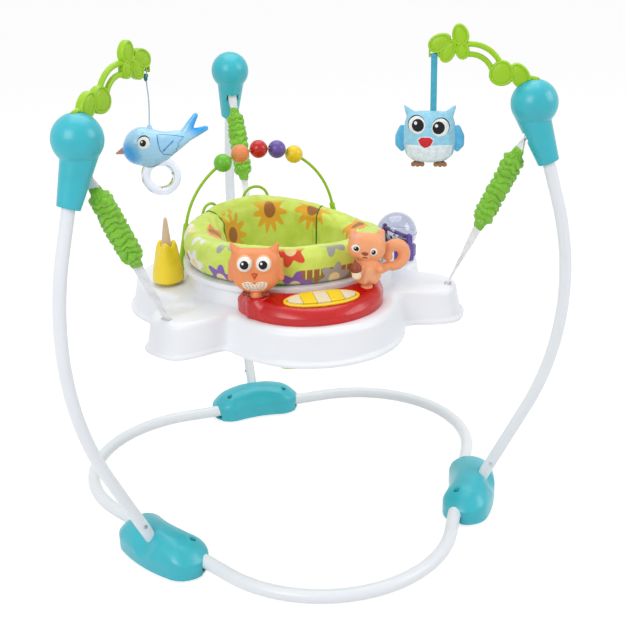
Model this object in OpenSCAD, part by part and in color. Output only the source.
// Baby jumper: three uprights on a base ring, a toy tray hung from them on springs,
// a swivel seat in the tray, and toys on two arms.
// Millimetres, +Z up, standing on the floor, with the red toy panel facing -Y.

/* [Base ring] */
// How far the ring's straight sides lie inside the uprights' greatest reach, between centre lines
hub_inset = 181; // [171:1:191]
// Bend radius of the ring's three corners, at the tube's centre line
ring_bend = 245; // [235:1:250]
// Outside diameter of the base tubes
ring_od = 25; // [24:0.5:26]
// Wall of the base tubes
ring_wall = 1.2; // [0.8:0.1:1.6]
// Height of the base tubes' centre line
ring_z = 25; // [24:0.5:27]
// Gap between two base tubes inside a hub
ring_gap = 44; // [40:1:50]

/* [Uprights] */
// Outside diameter of the uprights and their stubs
upright_od = 22; // [21:0.5:23]
// Wall of the uprights
upright_wall = 1.2; // [1:0.1:1.5]
// Wall of the stubs
stub_wall = 1.5; // [1.2:0.1:1.8]
// Greatest distance of an upright's centre line from the frame's axis
upright_reach = 521; // [505:1:535]
// Height of that point
upright_reach_z = 470; // [460:1:480]
// Bend radius of the uprights
upright_bend = 580; // [560:1:600]
// Outward lean of the lower straight, in degrees
lean_out = 26; // [25:0.5:27]
// Inward lean of the upper straight, in degrees
lean_in = 16; // [15:0.5:17]
// Height of the joint between stub and upright
joint_z = 116; // [112:1:125]
// Length of the swaged end inside the stub
insert_len = 55; // [45:1:58]
// Distance of the snap button below the joint, along the tube
button_drop = 28; // [22:1:34]
// Diameter of the snap button
button_d = 7; // [6:0.5:8]
// How far the button stands out of the stub
button_proud = 2.4; // [2:0.1:3]

/* [Hubs] */
// Inner face of the hub, inside the base tube's centre line
hub_in = 20; // [18:1:22]
// Outer face of the hub, beyond the base tube's centre line
hub_out = 70; // [68:1:74]
// Height of the hub's shell
hub_h = 66; // [64:1:70]
// Drop of the hub's top from the middle to the ends
hub_drop = 20; // [16:1:22]
// Bend radius of the hub's middle line
hub_arc = 260; // [240:1:280]
// Half of the angle that the hub's straight-sided part covers
hub_half = 13.3; // [12:0.1:14.5]
// Rounding of the hub's top edges
hub_round = 22; // [18:1:22]
// Wall of the hub's shell
hub_wall = 3; // [2:0.5:4]
// Thickness of the hub's base plate
plate_t = 4; // [3:0.5:5]
// Distance of each hub screw from the hub's middle
screw_t = 66; // [62:1:70]
// Shank diameter of the hub screws
screw_d = 5; // [4:0.5:5.5]
// Height of the screw heads' seat in the hub
screw_seat_z = 50; // [48:1:52]
// Height of the rubber feet
foot_h = 4; // [3:0.5:6]
// Diameter of the rubber feet
foot_d = 26; // [20:1:30]

/* [Caps] */
// Height of the balls' centres
cap_z = 800; // [785:1:815]
// Radius of the balls
cap_ball = 41; // [38:0.5:44]
// Length of the sleeve from the ball's centre
cap_len = 108; // [100:1:115]
// Radius of the sleeve at its mouth
cap_mouth = 19; // [17:0.5:21]
// Radius of the sleeve under the ball
cap_neck = 31; // [29:0.5:33]
// How far the sleeve leans inward at the ball
cap_flare = 8; // [6:0.5:10]

/* [Suspension] */
// Distance of the strap's bar below the ball's centre, along the upright
bar_drop = 48; // [44:1:52]
// Distance of the strap's bar from the upright's axis
bar_in = 22.5; // [21:0.5:24]
// Distance of the strap's slot in the tray from the frame's axis
anchor_r = 308; // [300:1:312]
// Width of the webbing
web_w = 18; // [14:1:19]
// Thickness of the webbing
web_t = 2.4; // [1.6:0.1:3]
// Where the spring starts, along the strap from the bar
spring_start = 36; // [34:1:40]
// Length of the spring
spring_len = 154; // [140:1:165]
// Outside diameter of the spring
spring_od = 16; // [12:0.5:18]
// Where the fabric cover starts, along the strap from the bar
cover_start = 30; // [29:1:34]
// Length of the fabric cover
cover_len = 165; // [150:1:175]
// Middle radius of the scrunched cover
cover_r = 18; // [16:0.5:20]
// Height of the cover's folds
cover_fold = 3; // [1.5:0.25:3.5]
// Number of folds along the cover
cover_folds = 11; // [8:1:13]

/* [Tray] */
// Height of the tray's deck
deck_z = 462; // [450:1:470]
// Depth of the tray, from deck to lip
tray_depth = 62; // [54:1:70]
// Wall of the tray
tray_wall = 3; // [2.5:0.5:4]
// Radius of the tray's round middle
tray_mid = 238; // [232:1:246]
// Reach of the three wide bulges from the axis
bulge_reach = 322; // [310:1:330]
// Radius of the three wide bulges
bulge_r = 162; // [158:1:170]
// Reach of the three strap lobes beyond the strap's slot
lobe_edge = 30; // [24:1:36]
// Half angle of the strap lobes, in degrees
lobe_half = 14; // [12:0.5:16]
// Width of the lip round the tray's lower edge
lip_w = 6; // [4:0.5:8]

/* [Seat] */
// Radius of the hole in the tray
seat_hole = 176; // [172:0.5:180]
// Outer radius of the swivel ring's flange
flange_r = 203; // [198:1:204]
// Thickness of the flange
flange_t = 9.5; // [7:0.5:11]
// Height of the tray's collar above the deck
collar_h = 32; // [28:0.5:34]
// Height of the collar's wall, below the deck too
collar_wall_h = 61; // [52:1:68]
// Running gap of the swivel ring
swivel_gap = 0.3; // [0.2:0.05:0.4]
// Height of the padded rim above the flange
rim_h = 74; // [68:1:80]
// Outer radius of the padded rim
rim_r = 194; // [188:1:195]
// Height of the seat's lowest point
crotch_z = 290; // [270:1:310]
// Diameter of the leg holes
leg_d = 90; // [80:1:96]
// Distance of the leg holes from the middle
leg_x = 62; // [60:1:66]

/* [Toy panel] */
// Turn of the panel round the seat
panel_turn = -2; // [-8:0.5:4]
// Inner radius of the panel
panel_in = 208; // [207:1:212]
// Radius of the panel's front edge
panel_r = 134; // [128:1:138]
// Centre of that edge, in front of the axis
panel_cy = 150; // [146:1:154]
// Height of the panel at its inner edge
panel_h = 36; // [32:1:38]
// Slope of the panel's top, in degrees
panel_slope = 8.5; // [6:0.5:12]
// Half length of the bezel
bezel_long = 68; // [62:1:72]
// Half depth of the bezel
bezel_deep = 27; // [24:1:29]
// Width of the bezel's rim
bezel_rim = 6.5; // [5:0.5:8]
// Travel of the keys
key_travel = 2.5; // [1.5:0.25:3]
// Distance of the toys' posts from the axis
post_r = 226; // [225:1:230]
// Turn of the owl's post round the seat
owl_turn = -30; // [-32:0.5:-28]
// Turn of the squirrel's post round the seat
squirrel_turn = 22; // [20:0.5:24]
// Diameter of the posts
post_d = 40; // [36:1:40]

/* [Bead arch] */
// Radius of the arch
arch_r = 163; // [158:1:166]
// Diameter of the wire
wire_d = 6; // [5:0.5:7]
// Height of the arch's centre
arch_z = 523; // [518:1:530]
// Angle at which the wire meets its sockets
arch_end = 11.7; // [10:0.1:14]
// Diameter of the beads
bead_d = 36; // [32:0.5:38]
// Angle between two beads
bead_step = 14; // [13.6:0.1:15]

/* [Hanging toys] */
// Reach of the leaf arms' tips
arm_reach = 174; // [168:1:180]
// Turn of the left arm from pointing at the axis
arm_turn_left = 13; // [-10:1:20]
// Turn of the right arm from pointing at the axis
arm_turn_right = 4; // [-10:1:20]
// Thickness of the leaves
leaf_t = 15; // [12:0.5:16]
// Diameter of the arms' plugs
plug_d = 12; // [10:0.5:14]
// Length of the plush owl's ribbon
ribbon_len = 107; // [96:1:112]
// Width of the ribbon
ribbon_w = 11; // [8:0.5:12]
// Outer radius of the bird's teether ring
teether_r = 34; // [30:0.5:36]
// Radius of the teether ring's section
teether_sec = 8; // [6:0.5:9]

/* [Hidden] */
$fn = 72;

// Colours
white = "#f4f6fa";
teal = "#45b8c8";
lime = "#9ccb1c";
fabric_green = "#7fc22d";
seat_green = "#c4de4f";
red = "#d81b1b";
toy_orange = "#f0925a";
yellow = "#f8d820";
beige = "#e8d8b8";
purple = "#6a4fa8";
sky = "#6fc0f2";
steel = "#b8bcc0";
rubber = "#e8e8e4";
clear = [0.8, 0.85, 0.9, 0.5];

// The three sides of the frame, as angles round its axis
BACK = 90;
LEFT = 210;
RIGHT = 330;
SIDES = [BACK, LEFT, RIGHT];

// Fits
slip = 0.15;
seat_slip = 0.3;
thread_slip = 0.05;
over = 1;
// Height of the faint ring that a bending tool leaves where a tube's bend meets its straight
bend_mark = 0.05;

// Base ring
ring_side = upright_reach - hub_inset;
corner_d = 2 * (ring_side - ring_bend);
side_half = corner_d * sin(60);
ring_r = ring_od / 2;

// Uprights, as distance from the axis and height
upright_r = upright_od / 2;
low_r = upright_reach - upright_bend * (1 - cos(lean_out));
low_z = upright_reach_z - upright_bend * sin(lean_out);
top_r = upright_reach - upright_bend * (1 - cos(lean_in));
top_z = upright_reach_z + upright_bend * sin(lean_in);
function low_at(z) = low_r - (low_z - z) * tan(lean_out);
function top_at(z) = top_r - (z - top_z) * tan(lean_in);
stub_in = upright_r - stub_wall;
insert_r = stub_in - thread_slip;
insert_bore = insert_r - upright_wall;
swage = 4;
stub_z = foot_h + plate_t + 6;
stub_len = (joint_z - stub_z) / cos(lean_out);
cap_r = top_at(cap_z);
upright_top = 22;

// The frame stands with its box centred on the origin
back_reach = upright_reach + upright_r;
front_reach = corner_d + ring_bend + ring_r;
axis_y = (front_reach - back_reach) / 2;

// Hubs
hub_w = hub_in + hub_out;
hub_cy = ring_side + (hub_out - hub_in) / 2 - hub_arc;
hub_length = hub_arc * sin(hub_half) + hub_w / 2;
hub_crown = (hub_length * hub_length + hub_drop * hub_drop) / (2 * hub_drop);
hub_top = foot_h + hub_h;
screw_r = screw_d / 2;
screw_head_r = 4.6;
screw_head_h = 3.5;
column_r = 8;
collar_r = upright_r + 4;

// Suspension
bar_r = cap_r + bar_drop * sin(lean_in) - bar_in * cos(lean_in);
bar_z = cap_z - bar_drop * cos(lean_in) - bar_in * sin(lean_in);
bar_rod = 2.5;
strap_len = norm([bar_r - anchor_r, bar_z - deck_z]);
strap_turn = atan2(deck_z - bar_z, anchor_r - bar_r);
spring_end = spring_start + spring_len;
strap_stop = 8.1;
cover_bore = 10;
cover_end = 12.5;

// Tray
tray_lip_z = deck_z - tray_depth;
lobe_reach = anchor_r + lobe_edge;
bulge_d = bulge_reach - bulge_r;
tray_steps = 96;
blend_power = 14;
collar_top = deck_z + collar_h;
collar_bottom = collar_top - collar_wall_h;
flange_z = collar_top + swivel_gap;
seat_z = flange_z + flange_t;
sleeve_r = seat_hole - 0.5;
sleeve_in = sleeve_r - 7;
sleeve_bottom = collar_bottom - swivel_gap;
retainer_t = 5;
rim_top = seat_z + rim_h;
seat_steps = 60;
seat_channels = 10;
channel_deep = 5;

// Toy panel
bezel_half = [bezel_long, bezel_deep];
panel_y = -(panel_in + bezel_deep + 3);
panel_back_z = deck_z + panel_h;
panel_mid_z = panel_back_z + (panel_y + panel_in) * tan(panel_slope);
pocket_deep = 6;
bezel_h = 4;
key_gap = 0.6;
key_half = [bezel_half[0] - bezel_rim, bezel_half[1] - bezel_rim];
key_w = (2 * key_half[0] - 2 * key_gap) / 5;
key_h = pocket_deep + bezel_h + 2;
ball_foot = 12;
owl_post_z = 500;
squirrel_post_z = 492;
owl_face = 10;
squirrel_face = -26;
panel_wall = 3;

// Bead arch, on a line across the tray behind the seat
arch_at = [-19.5, 131];
arch_turn = 8.6;
socket_len = (arch_z + arch_r * sin(arch_end) - deck_z) / cos(arch_end);
wire_tail = 24;
bead_slip = 1;

// Toys that stand on the tray
banana_at = [-231, 37];
banana_z = deck_z + ball_foot + 2;
rattle_at = [241, 47];
rattle_r = 42;
rattle_up = rattle_r + 5;
axle_r = 4;

// Toys that hang from the arms
leaf_unit = arm_reach / 87;
stem_r = 20.5 * leaf_unit;
stem_gap = 8.5 * leaf_unit;
arm_tip_z = 2 * stem_r;
leaf_step = 0.6;
left_tip = tip_of(LEFT, arm_turn_left);
right_tip = tip_of(RIGHT, arm_turn_right);
toy_turn = -16;
bird_drop = 90;
tip_rod = 2;
lug_t = 3;
plush_x = -6;
function tip_of(side, turn) = [
  cap_r * cos(side) + arm_reach * cos(side + 180 + turn),
  cap_r * sin(side) + arm_reach * sin(side + 180 + turn),
  cap_z + arm_tip_z
];
// Points of the bird's cord, from the arm's tip: from its knot over the tip's rod and down to the bird
cord_d = 2;
cord_route = [
  [-1, 1.3, -12], [-1.8, 1.9, -6], [-2.4, 2.7, -1], [-1.6, 1.8, 2.8], [0, 0, 4], [1.6, -1.6, 2.8],
  [2.4, -2.5, -1], [1.8, -1.7, -6], [1, -0.7, -12], [1.2, 0.5, -24], [2.2, 0.5, -40], [2.2, 0.5, -57],
  [1.2, 0.5, -74], [0.2, 0.1, -86], [0, 0, -bird_drop - 5]
];

// Placing
module standing() translate([0, axis_y, 0]) children();
// Turns a side's own frame, +Y outward, to that side
module at_side(side) rotate(side - 90) children();
// Lays a drawing, x outward and y up, in the side's upright plane
module upright_plane() rotate(a = 120, v = [1, 1, 1]) children();
// +Z down along the upright from the ball's centre, +Y outward
module cap_frame() upright_plane() translate([cap_r, cap_z, 0]) rotate([0, 90, lean_in - 90]) children();
// +Z down along the strap from its bar
module strap_frame() upright_plane() translate([bar_r, bar_z, 0]) rotate([0, 90, strap_turn]) children();
// +Z up along the lower straight of the upright from height z, X along the hub
module low_frame(z) upright_plane() translate([low_at(z), z, 0]) rotate([0, 90, 90 - lean_out]) rotate(180)
  children();

// Shapes
function flat(rows) = [for (row = rows) for (p = row) p];
// Closed skin over rows of points, the rows and their points both going round
module ring_skin(rows) {
  n = len(rows);
  m = len(rows[0]);
  polyhedron(flat(rows), [
    for (i = [0 : n - 1])
      for (j = [0 : m - 1])
        let (a = i * m + j, b = i * m + (j + 1) % m, e = ((i + 1) % n) * m, c = e + (j + 1) % m, d = e + j)
          for (f = [[a, b, c], [a, c, d]]) f
  ]);
}
// Closed skin over rings of points from one end to the other, with a flat cap at each end
module loft(rings) {
  n = len(rings);
  m = len(rings[0]);
  polyhedron(flat(rings), concat(
    [for (j = [1 : m - 2]) [0, j, j + 1]],
    [for (j = [1 : m - 2]) [(n - 1) * m, (n - 1) * m + j + 1, (n - 1) * m + j]],
    [
      for (i = [0 : n - 2])
        for (j = [0 : m - 1])
          let (a = i * m + j, b = i * m + (j + 1) % m, c = (i + 1) * m + (j + 1) % m, d = (i + 1) * m + j)
            for (f = [[a, c, b], [a, d, c]]) f
    ]
  ));
}
// Rings of a swelling solid: each row is [height, half width, half depth]
function swell(rows, sides) = [
  for (r = rows) [for (k = [0 : sides - 1]) [r[1] * cos(360 * k / sides), r[2] * sin(360 * k / sides), r[0]]]
];
// Rings of a tube along a route
function unit(v) = v / norm(v);
function tube_rings(path, r, sides) = [
  for (i = [0 : len(path) - 1])
    let (
      t = unit(path[min(i + 1, len(path) - 1)] - path[max(i - 1, 0)]),
      u = unit(cross(t, [1, 1, 0])),
      v = cross(t, u)
    )
      [for (k = [0 : sides - 1]) path[i] + r * (cos(360 * k / sides) * u + sin(360 * k / sides) * v)]
];
module ball_at(p, r) translate(p) sphere(r, $fn = 12);
module limb(p, pr, q, qr) hull() {
  ball_at(p, pr);
  ball_at(q, qr);
}
module mirrored() for (m = [0, 1]) mirror([m, 0, 0]) children();
module stadium(w, l) {
  square([w, l - w], center = true);
  for (s = [-1, 1]) translate([0, s * (l - w) / 2]) circle(w / 2);
}
module oval(half) scale([half[0] / half[1], 1]) circle(half[1]);

// Base ring
module ring_path(r, extra) {
  translate([0, -corner_d, 0]) rotate(-150) rotate_extrude(angle = 120) translate([ring_bend, 0]) circle(r);
  mirrored() ring_end() rotate([0, 90, 0]) {
    cylinder(r = r, h = side_half - ring_gap / 2 + extra);
    translate([0, 0, -2]) cylinder(r = r + bend_mark, h = 4);
  }
}
// Where a corner's bend ends, +X along the straight side towards the hub
module ring_end() translate([ring_bend * cos(30), -corner_d - ring_bend * sin(30), 0]) rotate(60) children();
module base_tube(turn) color(white) standing() rotate(turn) translate([0, 0, ring_z]) difference() {
  ring_path(ring_r, 0);
  ring_path(ring_r - ring_wall, over);
  mirrored() ring_end() translate([side_half - screw_t, 0, -ring_od])
    cylinder(r = screw_r + slip, h = 2 * ring_od);
}

// Hubs
module hub_section(w, h, r) {
  square([w / 2 - r, h]);
  square([w / 2, h - r]);
  translate([w / 2 - r, h - r]) circle(r);
}
module hub_solid(w, h, r) translate([0, hub_cy, foot_h]) {
  rotate(90 - hub_half) rotate_extrude(angle = 2 * hub_half) translate([hub_arc, 0])
    mirrored() hub_section(w, h, r);
  for (s = [-1, 1]) rotate(s * hub_half) translate([0, hub_arc, 0]) rotate_extrude() hub_section(w, h, r);
}
module hub_plan(w, h) translate([0, hub_cy, foot_h]) {
  rotate(90 - hub_half) rotate_extrude(angle = 2 * hub_half) translate([hub_arc - w / 2, 0]) square([w, h]);
  for (s = [-1, 1]) rotate(s * hub_half) translate([0, hub_arc, 0]) cylinder(r = w / 2, h = h);
}
module hub_dome(inset) intersection() {
  hub_solid(hub_w - 2 * inset, hub_h - inset, hub_round - inset);
  translate([0, ring_side + 2 * hub_w, hub_top - hub_crown]) rotate([90, 0, 0])
    cylinder(r = hub_crown - inset, h = 4 * hub_w);
}
module hub_tunnel() {
  translate([-2 * hub_w, ring_side, ring_z]) rotate([0, 90, 0])
    cylinder(r = ring_r + seat_slip, h = 4 * hub_w);
  translate([-2 * hub_w, ring_side - ring_r - seat_slip, 0])
    cube([4 * hub_w, ring_od + 2 * seat_slip, ring_z]);
}
module hub_screw_places() for (s = [-1, 1]) translate([s * screw_t, ring_side, 0]) children();
module hub_shell(side) color(teal) standing() at_side(side) difference() {
  union() {
    difference() {
      hub_dome(0);
      translate([0, 0, -over]) hub_dome(hub_wall);
    }
    intersection() {
      hub_dome(0);
      union() {
        hub_screw_places() translate([0, 0, ring_z + ring_r + over]) cylinder(r = column_r, h = hub_h);
        low_frame(ring_z + ring_r) cylinder(r = collar_r, h = hub_h);
      }
    }
  }
  hub_tunnel();
  low_frame(stub_z) cylinder(r = upright_r + slip, h = stub_len);
  hub_screw_places() {
    cylinder(r = screw_r + slip, h = hub_top + over);
    translate([0, 0, screw_seat_z]) cylinder(r = screw_head_r + over, h = hub_top);
  }
}
module hub_base() difference() {
  union() {
    hub_plan(hub_w - 2 * hub_wall - 2 * seat_slip, plate_t);
    hub_screw_places() translate([-column_r, -ring_r, foot_h]) cube([2 * column_r, ring_od, ring_z - foot_h]);
    intersection() {
      low_frame(foot_h - 2 * collar_r) cylinder(r = collar_r, h = 4 * collar_r);
      translate([-collar_r, ring_side, foot_h]) cube([2 * collar_r, hub_w, ring_z + ring_r - foot_h - over]);
    }
  }
  translate([-2 * hub_w, ring_side, ring_z]) rotate([0, 90, 0]) cylinder(r = ring_r + slip, h = 4 * hub_w);
  low_frame(stub_z) cylinder(r = upright_r + slip, h = stub_len);
  hub_screw_places() cylinder(r = screw_r + thread_slip, h = hub_top);
}
module hub_bases() color(teal) standing() for (side = SIDES) at_side(side) hub_base();
module hub_screws() color(steel) standing() for (side = SIDES) at_side(side) hub_screw_places() {
  translate([0, 0, foot_h + over]) cylinder(r = screw_r, h = screw_seat_z - foot_h - over);
  translate([0, 0, screw_seat_z]) cylinder(r = screw_head_r, h = screw_head_h);
}
module foot_pads() color(rubber) standing() for (side = SIDES) at_side(side)
  translate([0, hub_cy, 0]) for (s = [-1, 1]) rotate(s * hub_half) translate([0, hub_arc, 0])
    cylinder(d = foot_d, h = foot_h);

// Uprights
module button_hole() low_frame(joint_z) translate([0, 0, -button_drop]) rotate([0, 90, 0])
  cylinder(r = button_d / 2 + slip, h = 2 * upright_od, center = true);
module upright_stubs() color(white) standing() for (side = SIDES) at_side(side) difference() {
  low_frame(stub_z) cylinder(r = upright_r, h = stub_len);
  low_frame(stub_z - over) cylinder(r = stub_in, h = stub_len + 4 * over);
  button_hole();
}
// The upright's run from z_start up to the cap
module upright_run(r, start, extra) {
  low_frame(joint_z) translate([0, 0, start]) cylinder(r = r, h = (low_z - joint_z) / cos(lean_out) - start);
  low_frame(low_z) translate([0, 0, -2]) cylinder(r = r + bend_mark, h = 4);
  upright_plane() translate([upright_reach - upright_bend, upright_reach_z, 0]) rotate(-lean_out)
    rotate_extrude(angle = lean_out + lean_in) translate([upright_bend, 0]) circle(r);
  cap_frame() translate([0, 0, upright_top - extra])
    cylinder(r = r, h = (cap_z - top_z) / cos(lean_in) - upright_top + extra);
  cap_frame() translate([0, 0, (cap_z - top_z) / cos(lean_in) - 2]) cylinder(r = r + bend_mark, h = 4);
}
module upright(side) color(white) standing() at_side(side) difference() {
  union() {
    upright_run(upright_r, 0, 0);
    low_frame(joint_z) translate([0, 0, -insert_len]) cylinder(r = insert_r, h = insert_len + over);
  }
  upright_run(upright_r - upright_wall, swage, over);
  low_frame(joint_z) translate([0, 0, -insert_len - over])
    cylinder(r = insert_bore, h = insert_len + swage + 2 * over);
  button_hole();
}
// Snap buttons stand out along the hub: to the front on the front pair, to the left on the back one
module snap_button(side, way) color(steel) standing() at_side(side) low_frame(joint_z)
  translate([0, 0, -button_drop]) rotate([0, way * 90, 0]) {
    translate([0, 0, insert_bore - 3.4]) cylinder(r = button_d / 2 + 1.5, h = 1.4);
    translate([0, 0, insert_bore - 2]) cylinder(d = button_d, h = upright_r + button_proud - insert_bore + 2);
  }
module button_spring(way) low_frame(joint_z) translate([0, 0, -button_drop]) rotate([90, 0, 0])
  linear_extrude(5, center = true) polygon([
    [way * (insert_bore - 3.6), 6], [way * 0.4, -24], [-way * 0.4, -24], [way * (0.9 - insert_bore), 6],
    [way * (1.7 - insert_bore), 6], [0, -20], [way * (insert_bore - 4.4), 6]
  ]);
module button_springs() color(steel) standing() {
  at_side(BACK) button_spring(-1);
  at_side(LEFT) button_spring(-1);
  at_side(RIGHT) button_spring(1);
}

// Caps
module cap_sleeve() {
  rise = cap_len - 10;
  tilt = atan(cap_flare / rise);
  translate([0, 0, cap_len]) rotate([-tilt, 0, 0]) translate([0, 0, -rise])
    cylinder(r1 = cap_neck, r2 = cap_mouth, h = rise);
}
module strap_pocket() {
  rotate([0, 90, 0]) cylinder(r = 7, h = web_w + 7, center = true);
  translate([-web_w / 2 - 3.5, -7, 0]) cube([web_w + 7, 14, 2 * cap_ball]);
}
module cap(side, plug) color(teal) standing() at_side(side) {
  difference() {
    cap_frame() {
      sphere(cap_ball);
      cap_sleeve();
    }
    cap_frame() translate([0, 0, upright_top - 2]) cylinder(r = upright_r + slip, h = cap_len);
    strap_frame() strap_pocket();
    if (plug)
      translate([0, cap_r, cap_z + 18]) cylinder(r = plug_d / 2 + thread_slip, h = cap_ball);
  }
  strap_frame() rotate([0, 90, 0]) cylinder(r = bar_rod, h = web_w + 9, center = true);
}

// Suspension
module web(from, to) translate([-web_w / 2, -web_t / 2, from]) cube([web_w, web_t, to - from]);
module upper_straps() color(white) standing() for (side = SIDES) at_side(side) strap_frame() difference() {
  union() {
    rotate([0, 90, 0]) cylinder(r = bar_rod + seat_slip + web_t, h = web_w, center = true);
    web(bar_rod + seat_slip + over, spring_start - seat_slip);
  }
  rotate([0, 90, 0]) cylinder(r = bar_rod + seat_slip, h = web_w + 2 * over, center = true);
}
module bounce_springs() color(steel) standing() for (side = SIDES) at_side(side) strap_frame()
  translate([0, 0, spring_start]) difference() {
    cylinder(d = spring_od, h = spring_len);
    translate([0, 0, -over]) cylinder(d = spring_od - 4.8, h = spring_len + 2 * over);
  }
cover_sides = 12;
cover_rings = 4 * cover_folds;
// Radius of the scrunched cover: slanting folds that die away at its gathered ends
function cover_at(t, a) =
  let (full = pow(max(0, sin(180 * t)), 0.35))
    cover_end + (cover_r - cover_end) * full + cover_fold * full * sin(360 * cover_folds * t + 70 * sin(a));
module cover(side) color(fabric_green) standing() at_side(side) strap_frame() ring_skin(concat(
  [
    for (i = [0 : cover_rings])
      let (t = i / cover_rings)
        [for (k = [0 : cover_sides - 1]) let (a = 360 * k / cover_sides)
          [cover_at(t, a) * cos(a), cover_at(t, a) * sin(a), cover_start + cover_len * t]]
  ],
  [
    for (z = [cover_start + cover_len, cover_start])
      [for (k = [0 : cover_sides - 1])
        let (a = 360 * k / cover_sides) [cover_bore * cos(a), cover_bore * sin(a), z]]
  ]
));
module lower_straps() color(white) standing() for (side = SIDES) at_side(side) strap_frame() {
  web(spring_end + seat_slip, strap_len + strap_stop);
  translate([0, 0, strap_len + strap_stop]) rotate([0, 90, 0]) cylinder(r = 4, h = web_w + 8, center = true);
}

// Tray: a round middle, three wide bulges between the uprights and three strap lobes under them
function turn_from(a, b) = let (d = (a - b) % 360) d > 180 ? d - 360 : d < -180 ? d + 360 : d;
function bulge_at(f) = bulge_d * cos(f) + sqrt(bulge_r * bulge_r - bulge_d * bulge_d * sin(f) * sin(f));
function lobe_at(f) = tray_mid + (lobe_reach - tray_mid) * exp(-pow(f / lobe_half, 4));
function tray_at(a) =
  let (
    f = min([for (s = SIDES) abs(turn_from(a, s))]),
    g = min([for (s = SIDES) abs(turn_from(a, s + 180))])
  )
    pow(pow(lobe_at(f), blend_power) + pow(bulge_at(g), blend_power), 1 / blend_power);
function tray_section(r) = [
  [seat_hole, collar_top], [seat_hole + 14, collar_top], [seat_hole + 20, deck_z + 8],
  [seat_hole + 26, deck_z], [r - 30, deck_z], [r - 19, deck_z - 3], [r - 13, deck_z - 11],
  [r - lip_w, tray_lip_z + 9], [r, tray_lip_z + 6], [r, tray_lip_z],
  [r - lip_w - tray_wall, tray_lip_z], [r - 13 - tray_wall, deck_z - 14], [r - 31, deck_z - tray_wall],
  [seat_hole + 24, deck_z - tray_wall], [seat_hole + 17, deck_z + 6],
  [seat_hole + 11.5, collar_top - tray_wall], [seat_hole + 4, collar_top - tray_wall],
  [seat_hole + 4, collar_bottom], [seat_hole, collar_bottom]
];
module tray_shell() color(white) standing() difference() {
  ring_skin([
    for (i = [0 : tray_steps - 1])
      let (a = 360 * i / tray_steps)
        [for (p = tray_section(tray_at(a))) [p[0] * cos(a), p[0] * sin(a), p[1]]]
  ]);
  for (side = SIDES) at_side(side) translate([-web_w / 2 - 2, anchor_r - 7, deck_z - 3 * tray_wall])
    cube([web_w + 4, 12, 6 * tray_wall]);
}

// Toy panel
module on_panel() standing() rotate(panel_turn) children();
// +Z out of the panel's sloping face, at the bezel's middle
module panel_face() translate([0, panel_y, panel_mid_z]) rotate([panel_slope, 0, 0]) children();
// A toy's post, which clears the deck by a hair where it overhangs the panel
module panel_post(top) translate([0, -post_r, deck_z + seat_slip])
  cylinder(d = post_d, h = top - deck_z - seat_slip);
// A part of the plan and height of the panel, drawn in by a wall
module panel_block(wall) intersection() {
  translate([0, 0, deck_z - (wall > 0 ? over : 0)]) linear_extrude(2 * panel_h) difference() {
    translate([0, -panel_cy]) circle(panel_r - wall);
    circle(panel_in + wall);
  }
  translate([0, -panel_in, panel_back_z - (wall > 0 ? wall + pocket_deep : 0)]) rotate([panel_slope, 0, 0])
    translate([-panel_in, -panel_in, -3 * panel_h]) cube([2 * panel_in, 2 * panel_in, 3 * panel_h]);
}
module post_at(turn) rotate(turn) translate([0, -post_r, 0]) children();
module toy_panel() color(red) standing() difference() {
  union() {
    rotate(panel_turn) difference() {
      panel_block(0);
      panel_block(panel_wall);
    }
    rotate(owl_turn) panel_post(owl_post_z);
    rotate(squirrel_turn) panel_post(squirrel_post_z);
  }
  rotate(panel_turn) panel_face() translate([0, 0, -pocket_deep]) linear_extrude(pocket_deep + over)
    oval([key_half[0] + seat_slip, key_half[1] + seat_slip]);
  post_at(owl_turn) translate([0, 0, owl_post_z]) sphere(ball_foot + seat_slip);
  post_at(squirrel_turn) translate([0, 0, squirrel_post_z]) sphere(ball_foot + seat_slip);
}
module panel_bezel() color(yellow) on_panel() panel_face() linear_extrude(bezel_h) difference() {
  oval(bezel_half);
  oval([key_half[0] + seat_slip, key_half[1] + seat_slip]);
}
module key(n) color(n % 2 == 0 ? yellow : beige) on_panel() panel_face()
  translate([0, 0, key_travel + 0.6 - pocket_deep]) linear_extrude(key_h - key_travel) intersection() {
    oval([key_half[0] - key_gap, key_half[1] - key_gap]);
    translate([(n - 3) * key_w, 0]) square([key_w - key_gap, 2 * bezel_deep], center = true);
  }

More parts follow.
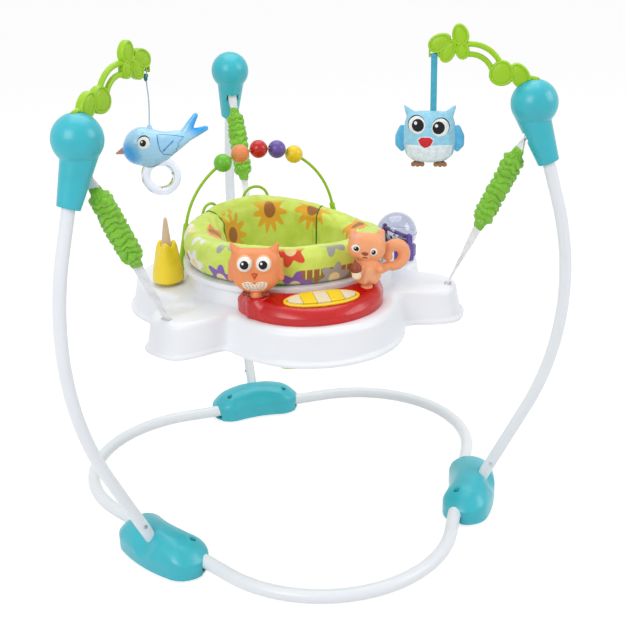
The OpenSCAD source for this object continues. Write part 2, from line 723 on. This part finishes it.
// Toys that rock on ball feet, each facing -Y with the foot's centre at its origin
module owl_toy() color(toy_orange) standing() post_at(owl_turn) translate([0, 0, owl_post_z])
  rotate(owl_face) {
    ball_at([0, 0, 0], ball_foot);
    limb([0, 0, 2], 9, [0, 0, 20], 9);
    hull() mirrored() {
      ball_at([11, -2, 20], 12);
      ball_at([18, 0, 34], 22);
      ball_at([22, 1, 64], 21);
    }
    mirrored() limb([28, 1, 72], 10, [39, 1, 92], 2.5);
    mirrored() limb([39, 1, 58], 9, [43, 2, 32], 6);
    mirrored() limb([18, -18, 55], 13, [18, -12, 55], 14);
    limb([0, -23, 42], 5, [0, -24, 33], 2);
  }
module squirrel_toy() color(toy_orange) standing() post_at(squirrel_turn) translate([0, 0, squirrel_post_z])
  rotate(squirrel_face) {
    ball_at([0, 0, 0], ball_foot);
    limb([0, 0, 2], 7.5, [0, 0, 24], 7.5);
    hull() {
      mirrored() ball_at([7, -2, 28], 17);
      ball_at([0, -1, 50], 16);
    }
    hull() mirrored() {
      ball_at([10, 0, 76], 24);
      ball_at([14, 0, 84], 20);
    }
    mirrored() limb([24, 2, 98], 8, [28, 2, 106], 6);
    mirrored() limb([15, -10, 46], 7, [18, -22, 40], 6);
    limb([-24, -24, 40], 9, [-26, -24, 52], 7);
    limb([0, -22, 72], 5, [0, -25, 70], 3);
    limb([8, 8, 26], 12, tail_at(0), tail_r(0));
    for (i = [0 : 6]) limb(tail_at(i), tail_r(i), tail_at(i + 1), tail_r(i + 1));
  }
// The tail rises beside the body and curls over on itself
function tail_at(i) =
  let (a = 245 + 46 * i, r = 24 - 1.8 * i)
    [54 + r * cos(a), 14, 56 + r * sin(a)];
function tail_r(i) = 8 + 3.5 * sin(180 * i / 7);
module banana_toy() color(yellow) standing() translate([banana_at[0], banana_at[1], banana_z]) {
  ball_at([0, 0, 0], ball_foot);
  limb([0, 0, 2], 9, [0, 0, 22], 13);
  hull() {
    ball_at([0, 0, 30], 24);
    ball_at([2, 0, 44], 22);
  }
  limb([2, 0, 44], 22, [2, 0, 70], 15);
  limb([2, 0, 70], 15, [3, 0, 94], 8);
  limb([3, 0, 94], 8, [4, 0, 113], 4.5);
  for (a = [0 : 90 : 270]) limb([18 * cos(a), 18 * sin(a), 30], 8, [10 * cos(a) + 2, 10 * sin(a), 68], 6);
}

// Rattle ball on its axle
module rattle_frame() standing() translate([rattle_at[0], rattle_at[1], deck_z])
  rotate(atan2(rattle_at[1], rattle_at[0])) children();
module ball_cradle() color(purple) rattle_frame() difference() {
  union() {
    difference() {
      union() {
        cylinder(r = rattle_r - 2, h = 20);
        translate([-9, -rattle_r - 10, 0]) cube([18, 2 * rattle_r + 20, 20]);
      }
      translate([0, 0, rattle_up]) sphere(rattle_r + 2);
    }
    for (s = [-1, 1]) translate([-9, s * (rattle_r + 6) - 4, 0]) cube([18, 8, rattle_up]);
    for (s = [-1, 1]) translate([0, s * (rattle_r + 6), rattle_up]) rotate([90, 0, 0])
      cylinder(r = 9, h = 8, center = true);
  }
  translate([0, 0, rattle_up]) rotate([90, 0, 0])
    cylinder(r = axle_r + thread_slip, h = 4 * rattle_r, center = true);
}
module rattle_ball() color(clear) rattle_frame() translate([0, 0, rattle_up]) {
  difference() {
    sphere(rattle_r);
    sphere(rattle_r - 2.5);
  }
  rotate([90, 0, 0]) cylinder(r = axle_r, h = 2 * rattle_r + 18, center = true);
}

// Bead arch: +X across the tray, drawn upright about the arch's centre
module arch_frame() standing() translate([arch_at[0], arch_at[1], arch_z]) rotate(arch_turn)
  rotate([90, 0, 0]) children();
module arch_foot() translate([arch_r * cos(arch_end), arch_r * sin(arch_end), 0]) rotate([90, 0, 0])
  rotate([0, arch_end, 0]) children();
module arch_wire() color(lime) arch_frame() {
  rotate(arch_end) rotate_extrude(angle = 180 - 2 * arch_end) translate([arch_r, 0]) circle(d = wire_d);
  mirrored() arch_foot() {
    cylinder(d = wire_d, h = wire_tail);
    translate([0, 0, -1]) cylinder(d = wire_d + 2 * bend_mark, h = 2);
  }
}
module toy_sockets() color(lime) {
  intersection() {
    arch_frame() mirrored() arch_foot() difference() {
      union() {
        cylinder(r = 9, h = 2 * socket_len);
        translate([0, 0, socket_len - 26]) cylinder(r1 = 9, r2 = 17, h = 26 + 17);
      }
      translate([0, 0, -over]) cylinder(r = wire_d / 2 + slip, h = wire_tail + 2 * over);
    }
    standing() translate([-tray_mid, -tray_mid, deck_z]) cube([2 * tray_mid, 2 * tray_mid, tray_mid]);
  }
  standing() translate([banana_at[0], banana_at[1], deck_z]) difference() {
    cylinder(r = 17, h = ball_foot);
    translate([0, 0, banana_z - deck_z]) sphere(ball_foot + seat_slip);
  }
}
module bead(n, tone) color(tone) arch_frame() rotate(90 - n * bead_step) translate([arch_r, 0, 0])
  difference() {
    sphere(d = bead_d);
    rotate([90, 0, 0]) cylinder(d = wire_d + 2 * bead_slip, h = 2 * bead_d, center = true);
  }
module hoop(turn, half, top) rotate(turn) translate([0, 212, top - half]) rotate([90, 0, 0]) {
  rotate_extrude(angle = 180) translate([half, 0]) circle(d = wire_d);
  mirrored() translate([half, 0, 0]) rotate([90, 0, 0]) cylinder(d = wire_d, h = top - half - deck_z);
  mirrored() translate([half, deck_z - top + half, 0]) rotate([-90, 0, 0])
    cylinder(d = 2 * wire_d, h = 2 * wire_d);
}
module back_hoops() color(lime) standing() {
  hoop(3, 27, 591);
  hoop(33, 21, 573);
}

// Seat
module seat_ring() color(white) standing() difference() {
  rotate_extrude() {
    translate([sleeve_in, flange_z]) square([flange_r - sleeve_in, flange_t]);
    translate([sleeve_in, sleeve_bottom]) square([sleeve_r - sleeve_in, flange_z - sleeve_bottom + over]);
  }
  retainer_places() translate([0, 0, sleeve_bottom - over]) cylinder(r = 1.5 + thread_slip, h = 12 + over);
}
module retainer_places() for (a = [0 : 60 : 300]) rotate(a) translate([(sleeve_r + sleeve_in) / 2, 0, 0])
  children();
module seat_retainer() color(white) standing() difference() {
  rotate_extrude() translate([sleeve_in, sleeve_bottom - retainer_t])
    square([sleeve_r - sleeve_in + 12, retainer_t]);
  retainer_places() translate([0, 0, sleeve_bottom - 2 * retainer_t])
    cylinder(r = 1.5 + slip, h = 4 * retainer_t);
}
module retainer_screws() color(steel) standing() retainer_places()
  translate([0, 0, sleeve_bottom - retainer_t]) {
    translate([0, 0, -1.6]) cylinder(r = 3, h = 1.6);
    cylinder(r = 1.5, h = retainer_t + 11);
  }
// Padded seat: its underside, the drum, the rolled rim and the quilted bucket
// Each row is [radius, share of the height, depth of the quilting]
seat_under = [[8, 0], [76, 0.016], [130, 0.25], [148, 0.565], [160, 0.815], [163, 1]];
seat_drum = [[187, 0], [191, 0.16], [194, 0.42], [192, 0.68], [185, 0.91], [172, 1]];
seat_wall = [
  [156, 0.965, 0.6], [147, 0.88, 1], [142, 0.72, 1], [134, 0.49, 1], [116, 0.21, 0.5],
  [70, 0.045, 0], [8, 0.03, 0]
];
function channel(a) = channel_deep * pow(abs(sin(seat_channels * a / 2)), 0.5);
function seat_row(r, z, w) = [
  for (i = [0 : seat_steps - 1])
    let (a = 360 * i / seat_steps, rr = r - w * channel(a)) [rr * cos(a), rr * sin(a), z]
];
module seat_fabric() color(seat_green) standing() difference() {
  loft(concat(
    [for (p = seat_under) seat_row(p[0], crotch_z + p[1] * (seat_z - crotch_z), 0)],
    [for (p = seat_drum) seat_row(p[0] - 194 + rim_r, seat_z + p[1] * (rim_top - seat_z), 0)],
    [for (p = seat_wall) seat_row(p[0], crotch_z + p[1] * (rim_top - crotch_z), p[2])]
  ));
  mirrored() translate([leg_x, -25, crotch_z - 20]) cylinder(d = leg_d, h = 90);
}

// Leaf arms: +X along the reach from the ball's centre
module arm_frame(side, turn) standing() translate([cap_r * cos(side), cap_r * sin(side), cap_z])
  rotate(side + 180 + turn) children();
// A leaf of a cluster, thinner by its step than its neighbours, with its place and size in leaf units
module leaf(at, turn, w, l, step) translate([at[0], 0, at[1]] * leaf_unit) rotate([90, 0, 0]) rotate(turn)
  linear_extrude(leaf_t - step * leaf_step, center = true) stadium(w * leaf_unit, l * leaf_unit);
module leaf_arm(side, turn) color(lime) arm_frame(side, turn) {
  difference() {
    union() {
      leaf([13.5, 23.5], -30, 13.5, 22, 0);
      leaf([27.5, 25], 4, 14, 20, 1);
      for (r = [stem_r, stem_r + stem_gap]) translate([56.5, 0, 21] * leaf_unit) rotate([90, 0, 0]) rotate(85)
        rotate_extrude(angle = 92) translate([r, 0]) circle(4.8);
      leaf([65, 58], -15, 14, 18, 0);
      leaf([84, 52.5], 60, 14, 18, 1);
      leaf([73.5, 43], 25, 12, 20, 2);
      leaf([63, 45], -10, 11, 15, 1);
      for (s = [-1, 1]) translate([arm_reach + s * (ribbon_w + lug_t + 2) / 2 - lug_t / 2, -4, arm_tip_z - 4])
        cube([lug_t, 8, 22]);
      translate([arm_reach, 0, arm_tip_z]) rotate([0, 90, 0])
        cylinder(r = tip_rod, h = ribbon_w + 2 + lug_t, center = true);
      limb([0, 0, cap_ball], plug_d / 2 + 1.5, [20, 0, cap_ball + 4], 7);
    }
    sphere(cap_ball + seat_slip);
  }
  translate([0, 0, 20]) cylinder(d = plug_d, h = cap_ball - 16);
}

// Bird rattle: beak towards -X, hung from the boss on its back
module bird_frame() standing() translate(left_tip - [0, 0, bird_drop]) rotate(toy_turn) children();
module teether(r) translate([13, 0, -53 - teether_r]) rotate([90, 0, 0]) rotate_extrude()
  translate([teether_r - teether_sec, 0]) circle(r);
module bird_rattle() color(sky) bird_frame() difference() {
  union() {
    hull() {
      ball_at([-7, 0, -31], 29);
      ball_at([-16, 0, -40], 21);
      ball_at([14, 0, -39], 25);
      ball_at([-5, 0, -59], 11);
    }
    limb([18, 0, -37], 23, [56, 0, -22], 12);
    limb([56, 0, -22], 11, [94, 0, -8], 4.5);
    limb([56, 0, -20], 10, [78, 0, 14], 4.5);
    limb([-40, 0, -41], 6, [-54, 0, -45.5], 1.8);
    for (s = [-1, 1]) hull() {
      ball_at([14, s * 22, -26], 7);
      ball_at([48, s * 13, -18], 5);
      ball_at([34, s * 18, -40], 6);
    }
    for (s = [-1, 1]) limb([-8, s * 22, -26], 7.5, [-8, s * 25, -26], 6.5);
    limb([0, 0, -10], 6, [0, 0, -2], 3.6);
  }
  teether(teether_sec + 2 * seat_slip, $fn = 24);
  translate([0, 0, -7]) cylinder(d = cord_d + 0.8, h = 20, $fn = 12);
}
module teether_ring() color(clear) bird_frame() teether(teether_sec);
module bird_cord() color(teal) standing() translate(left_tip) loft(tube_rings(cord_route, cord_d / 2, 8));

// Plush owl on its ribbon, facing -Y
module ribbon_frame() arm_frame(RIGHT, arm_turn_right) translate([arm_reach, 0, arm_tip_z]) children();
module plush_frame() ribbon_frame() translate([0, 0, 8 - ribbon_len]) rotate(180) children();
module owl_ribbon() color(sky) ribbon_frame() difference() {
  union() {
    rotate([0, 90, 0]) cylinder(r = tip_rod + seat_slip + 1.5, h = ribbon_w, center = true);
    translate([-ribbon_w / 2, -0.75, -ribbon_len]) cube([ribbon_w, 1.5, ribbon_len - tip_rod - 1]);
  }
  rotate([0, 90, 0]) cylinder(r = tip_rod + seat_slip, h = 2 * ribbon_w, center = true);
}
plush_rows = [
  [-86, 14, 8], [-83, 30, 17], [-73, 41, 24], [-55, 46, 27], [-35, 46, 27], [-16, 44, 24], [-4, 38, 17],
  [1, 30, 10], [3, 18, 5]
];
module plush_owl() color(sky) plush_frame() difference() {
  translate([plush_x, 0, 0]) {
    loft(swell(plush_rows, 20));
    mirrored() limb([32, 0, -8], 9, [45, 0, 9], 2);
  }
  translate([-ribbon_w / 2 - seat_slip, -0.75 - seat_slip, -9])
    cube([ribbon_w + 2 * seat_slip, 1.5 + 2 * seat_slip, 20]);
}
module plush_owl_wings() color("#3f86c8") plush_frame() translate([plush_x, 0, 0]) mirrored() hull() {
  ball_at([52.5, 2, -30], 7);
  ball_at([53.5, 2, -62], 7);
  ball_at([55.5, 2, -46], 7);
}
module plush_owl_feet() color(toy_orange) plush_frame() translate([plush_x, -6, -92.5]) mirrored()
  limb([12, 0, 0], 6, [24, -2, 0], 5.5);

base_tube(0);  // base_tube_front
base_tube(-120);  // base_tube_left
base_tube(120);  // base_tube_right
hub_shell(BACK);  // hub_shell_back
hub_shell(LEFT);  // hub_shell_left
hub_shell(RIGHT);  // hub_shell_right
hub_bases();
hub_screws();
foot_pads();
upright_stubs();
upright(BACK);  // upright_back
upright(LEFT);  // upright_left
upright(RIGHT);  // upright_right
snap_button(BACK, -1);  // snap_button_back
snap_button(LEFT, -1);  // snap_button_left
snap_button(RIGHT, 1);  // snap_button_right
button_springs();
cap(BACK, false);  // cap_back
cap(LEFT, true);  // cap_left
cap(RIGHT, true);  // cap_right
upper_straps();
bounce_springs();
cover(BACK);  // cover_back
cover(LEFT);  // cover_left
cover(RIGHT);  // cover_right
lower_straps();
tray_shell();
toy_panel();
panel_bezel();
key(1);  // key_1
key(2);  // key_2
key(3);  // key_3
key(4);  // key_4
key(5);  // key_5
owl_toy();
squirrel_toy();
banana_toy();
ball_cradle();
rattle_ball();
arch_wire();
toy_sockets();
bead(-2, fabric_green);  // bead_green
bead(-1, toy_orange);  // bead_orange
bead(0, red);  // bead_red
bead(1, purple);  // bead_purple
bead(2, yellow);  // bead_yellow
back_hoops();
seat_ring();
seat_retainer();
retainer_screws();
seat_fabric();
leaf_arm(LEFT, arm_turn_left);  // leaf_arm_left
leaf_arm(RIGHT, arm_turn_right);  // leaf_arm_right
bird_rattle();
teether_ring();
bird_cord();
owl_ribbon();
plush_owl();
plush_owl_wings();
plush_owl_feet();
